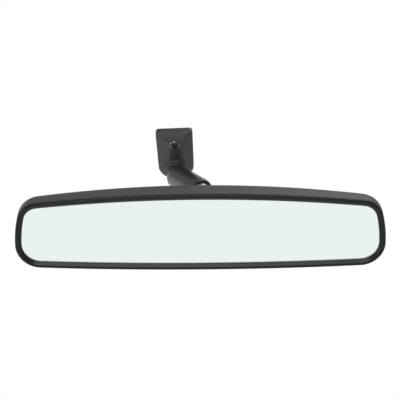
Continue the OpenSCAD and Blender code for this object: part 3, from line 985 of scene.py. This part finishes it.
@dataclass
class Bracket:
    """The windshield bracket, its mounting screw and the stud in its boss."""

    layout: Layout
    paints: Paints
    width: float = 27.2
    height: float = 44.2
    bottom_r: float = 13.1
    corner_r: float = 2.5
    rim_t: float = 4.4
    foot_t: float = 6.4
    ridge_t: float = 9.2
    ridge_w: float = 8.0
    screw_y: float = 13.2
    channel_t: float = 5.2
    channel_top_w: float = 16.4
    channel_bottom_w: float = 19.2
    undercut: float = 1.2
    stud_yaw: float = 10.0
    stud_pitch: float = -12.0
    boss_r: float = 7.4
    boss_at: float = 10.6

    def stud_place(self) -> Matrix:
        """The stud's place, with Z from the upper ball back to the bracket."""
        yaw, pitch = math.radians(self.stud_yaw), math.radians(self.stud_pitch)
        ahead = Vector((math.cos(pitch) * math.sin(yaw), -math.cos(pitch) * math.cos(yaw), math.sin(pitch)))
        return frame_of(self.layout.upper, -ahead, Vector((0, 0, 1)))

    def _shield(self, inset: float) -> list[Point2]:
        """Outline of the bracket, moved inwards by inset."""
        half, top = self.width / 2, self.height / 2
        low = -top + self.bottom_r
        corner = (half - self.corner_r, top - self.corner_r)
        right = []
        for k in range(9):
            a = math.radians(90 - 90 * k / 8)
            reach = self.corner_r - inset
            right.append((corner[0] + reach * math.cos(a), corner[1] + reach * math.sin(a)))
        for k in range(25):
            a = math.radians(-90 * k / 24)
            reach = self.bottom_r - inset
            right.append((reach * math.cos(a), low + reach * math.sin(a)))
        return [*right, *[(-x, y) for x, y in reversed(right[:-1])]]

    def _hull(self, points: Sequence[Vector]) -> Shape:
        """The convex solid round some points."""
        work = bmesh.new()
        for p in points:
            work.verts.new(p)
        result = bmesh.ops.convex_hull(work, input=work.verts)
        spare = [e for e in result["geom_interior"] if isinstance(e, bmesh.types.BMVert)]
        bmesh.ops.delete(work, geom=spare, context="VERTS")
        bmesh.ops.dissolve_limit(work, angle_limit=math.radians(0.6), verts=work.verts, edges=work.edges)
        work.verts.index_update()
        shape = ([v.co.copy() for v in work.verts], [tuple(v.index for v in f.verts) for f in work.faces])
        work.free()
        return shape

    def body(self) -> bpy.types.Object:
        """The cast body with its facets, stud boss, screw seat and button channel."""
        ridge_top, ridge_low = self.screw_y + 1.5, -self.height / 2 + 6.0
        corners = [(sx * self.ridge_w / 2, y) for sx in (-1, 1) for y in (ridge_top, ridge_low)]
        points = [Vector((x, y, z)) for z in (0.0, self.rim_t) for x, y in self._shield(0.0)]
        foot = circle(self.bottom_r, 72, (0.0, self.bottom_r - self.height / 2))
        points += [Vector((x, y, self.foot_t)) for x, y in foot]
        points += [Vector((x, y, self.ridge_t)) for x, y in corners]
        body = solid("bracket_body", self._hull(points), self.layout.bracket)
        bevelled(body, 0.55, 3, 14)
        place = self.layout.bracket
        top, mouth = self.screw_y + 3.4, -self.height / 2 - 1.0
        channel = []
        for y, w in ((top, self.channel_top_w), (mouth, self.channel_bottom_w)):
            for x, z in ((-w / 2 + self.undercut, -0.01), (w / 2 - self.undercut, -0.01), (w / 2, self.channel_t)):
                channel.append(Vector((x, y, z)))
            channel.append(Vector((-w / 2, y, self.channel_t)))
        seat = Matrix.Translation((0, self.screw_y, 0))
        boss_end = self.boss_at + 6.4
        boss = rounded([(0.0, self.boss_at, 0.0), (self.boss_r, self.boss_at, 0.9), (self.boss_r, boss_end, 0.0), (0.0, boss_end, 0.0)])
        stud = self.stud_place()
        tools = [
            (solid("boss", lathe(boss, 72, looped=False), stud), "UNION"),
            (solid("channel", self._hull(channel), place), "DIFFERENCE"),
            (solid("thread", prism(circle(2.53, 40), -1.0, 20.0), place @ seat), "DIFFERENCE"),
            (solid("counterbore", prism(circle(4.5, 56), self.ridge_t - 0.6, 20.0), place @ seat), "DIFFERENCE"),
            (solid("socket", prism(circle(3.03, 40), self.boss_at - 1.0, self.boss_at + 5.8), stud), "DIFFERENCE"),
        ]
        combined(body, tools)
        soften(body, 24.0)
        return body

    def screw(self) -> bpy.types.Object:
        """The mounting screw, with a domed head and a six-lobed recess."""
        head_r, base, top = 4.3, self.ridge_t - 0.6, self.ridge_t + 1.6
        profile = [
            (0.0, self.channel_t - 0.8),
            (1.9, self.channel_t - 0.8),
            (2.5, self.channel_t - 0.2),
            (2.5, base),
            (head_r, base),
            (head_r, base + 0.7),
            (head_r - 0.25, base + 1.2),
            (head_r - 0.8, base + 1.75),
            (head_r - 1.6, top - 0.08),
            (head_r - 2.2, top),
            (0.0, top),
        ]
        place = self.layout.bracket @ Matrix.Translation((0, self.screw_y, 0))
        screw = solid("bracket_screw", lathe(profile, 64, looped=False), place)
        turns = [2 * math.pi * k / 72 for k in range(72)]
        reach = [2.0 + 0.5 * math.cos(6 * a) for a in turns]
        lobes = [(r * math.cos(a), r * math.sin(a)) for r, a in zip(reach, turns)]
        recess = solid("recess", prism(lobes, top - 1.1, top + 2.0), place)
        combined(screw, [(recess, "DIFFERENCE")])
        soften(screw)
        return screw

    def build(self) -> None:
        """Builds the bracket's pieces and puts each on the mount body."""
        stud = BallStud(shank_end=self.boss_at + 5.6)
        mount(self.paints, self.body(), "mount", Slot.BRACKET, "mount_bracket")
        mount(self.paints, self.screw(), "mount", Slot.SCREW, "mounting_screw")
        mount(self.paints, solid("bracket_ball_stud", stud.shape(), self.stud_place()), "mount", Slot.STUD, "upper_stud")


# ---- putting pieces on the frame ----


def metres(place: Matrix) -> Matrix:
    """A place whose shift is in millimetres, as one in metres."""
    out = place.copy()
    out.translation = place.translation * MM
    return out


def mount(
    paints: Paints, piece: bpy.types.Object, body: str, slot: Slot, node: str, dress: bool = True
) -> None:
    """Dresses a piece, makes it move with its body and hides the node that it replaces.

    Args:
        paints: Where the material comes from.
        piece: The finished piece.
        body: The body it rides on.
        slot: The slot of the record that it takes its finish from.
        node: The node that it stands for.
        dress: False where the piece already has its materials.
    """
    if dress:
        piece.data.materials.clear()
        piece.data.materials.append(paints.slot(slot))
    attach(piece, body)
    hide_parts(node)
    log.info("%s on %s, %d faces", piece.name, body, len(piece.data.polygons))


KEPT_NODES: dict[str, Slot] = {
    "upper_ball_seat": Slot.NYLON,
    "lower_ball_seat": Slot.NYLON,
    "upper_spring_washer": Slot.ZINC,
    "lower_spring_washer": Slot.ZINC,
    "stud_lock_washer": Slot.ZINC,
    "stud_nut": Slot.ZINC,
    "reinforcement_plate": Slot.PLATE,
    "glass_gasket": Slot.RUBBER,
    "backing_film": Slot.FILM,
    "foam_pad": Slot.FOAM,
    "glass_carrier": Slot.CARRIER,
}


def dress_kept_nodes(nodes: dict[str, bpy.types.Object], paints: Paints) -> None:
    """Gives the pieces that keep their frame shape their own materials."""
    for name, slot in KEPT_NODES.items():
        node = nodes[name]
        if not node.material_slots:
            node.data.materials.append(None)
        for place in node.material_slots:
            place.material = paints.slot(slot)
        log.info("%s keeps its shape", name)


# ---- studio ----


@dataclass
class Studio:
    """A white floor, soft light from above, a dark card under the object, and the camera."""

    layout: Layout
    elevation: float = 26.0
    roll: float = -0.45
    distance: float = 1200.0
    view_width: float = 282.0
    aim_up: float = 23.3
    aim_right: float = -0.05
    floor_drop: float = 300.0
    floor_size: float = 12000.0
    sky: float = 0.42

    def _plate(self, name: str, size: Point2, centre: Vector) -> bpy.types.Object:
        """A flat level rectangle that isn't part of the object."""
        half_x, half_y = size[0] / 2, size[1] / 2
        corners = [Vector((sx * half_x, sy * half_y, 0)) for sx, sy in ((-1, -1), (1, -1), (1, 1), (-1, 1))]
        mesh = bpy.data.meshes.new(name)
        mesh.from_pydata([(centre + c) * MM for c in corners], [], [(0, 1, 2, 3)])
        obj = bpy.data.objects.new(name, mesh)
        bpy.context.scene.collection.objects.link(obj)
        return obj

    def _glow(self, name: str, level: float) -> bpy.types.Material:
        """A material that shines evenly."""
        graph = Graph(name)
        glow = graph.node("ShaderNodeEmission", None, {"Color": (1.0, 1.0, 1.0, 1.0), "Strength": level})
        graph.node("ShaderNodeOutputMaterial", None, {"Surface": glow.outputs[0]})
        return graph.material

    def sky_and_floor(self) -> None:
        """An even pale surround."""
        world = bpy.data.worlds.new("surround")
        world.use_nodes = True
        background = world.node_tree.nodes["Background"]
        background.inputs[0].default_value = (1.0, 1.0, 1.0, 1.0)
        background.inputs[1].default_value = self.sky
        bpy.context.scene.world = world
        base = self.layout.head_front - Vector((0, 0, self.floor_drop))
        floor = self._plate("floor", (self.floor_size, self.floor_size), base)
        floor.data.materials.append(self._glow("floor_white", 1.0))
        card = self._plate("dark_card", (300.0, 100.0), self.layout.head_front + Vector((0, -30.0, -80.0)))
        card.data.materials.append(self._glow("card_black", 0.0))
        card.visible_camera = card.visible_glossy = False

    def lamp(self, name: str, place: Vector, size: float, power: float) -> None:
        """A square soft light that faces the mirror head."""
        light = bpy.data.lights.new(name, "AREA")
        light.size, light.energy = size * MM, power
        obj = bpy.data.objects.new(name, light)
        obj.location = (self.layout.head_front + place) * MM
        obj.rotation_euler = (-place).to_track_quat("-Z", "Y").to_euler()
        bpy.context.scene.collection.objects.link(obj)

    def camera(self) -> None:
        """A long lens above the mirror's face."""
        tilt = math.radians(self.elevation)
        glass = self.layout.head_front
        up = Vector((0, math.sin(tilt), math.cos(tilt)))
        back = Vector((0, -math.cos(tilt), math.sin(tilt)))
        aim = glass + up * self.aim_up + Vector((self.aim_right, 0, 0))
        data = bpy.data.cameras.new("camera")
        data.sensor_width = 36.0
        data.lens = data.sensor_width * self.distance / self.view_width
        data.clip_end = 100.0
        obj = bpy.data.objects.new("camera", data)
        turn = Matrix((Vector((1, 0, 0)), up, back)).transposed().to_4x4()
        place = Matrix.Translation((aim + back * self.distance) * MM)
        obj.matrix_world = place @ turn @ Matrix.Rotation(math.radians(self.roll), 4, "Z")
        bpy.context.scene.collection.objects.link(obj)
        bpy.context.scene.camera = obj

    def build(self) -> None:
        """Sets up the whole studio."""
        self.camera()
        self.sky_and_floor()
        self.lamp("key", Vector((-60, -560, 700)), 500, 4.6)
        self.lamp("side", Vector((-800, -350, 120)), 400, 3.2)
        self.lamp("back", Vector((320, 560, 520)), 500, 1.5)
        bpy.context.scene.view_settings.view_transform = "Standard"


def main() -> None:
    """Builds everything round the frame."""
    logging.basicConfig(level=logging.INFO, format="%(message)s")
    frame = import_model()
    layout = Layout(frame["record"])
    paints = Paints()
    Studio(layout).build()
    builders: list[Callable[[], None]] = [
        MirrorHead(layout, paints).build,
        ArmSet(layout, paints).build,
        Bracket(layout, paints).build,
    ]
    for build in builders:
        build()
    dress_kept_nodes(frame["nodes"], paints)
    bpy.context.view_layer.update()


if __name__ == "__main__":
    main()
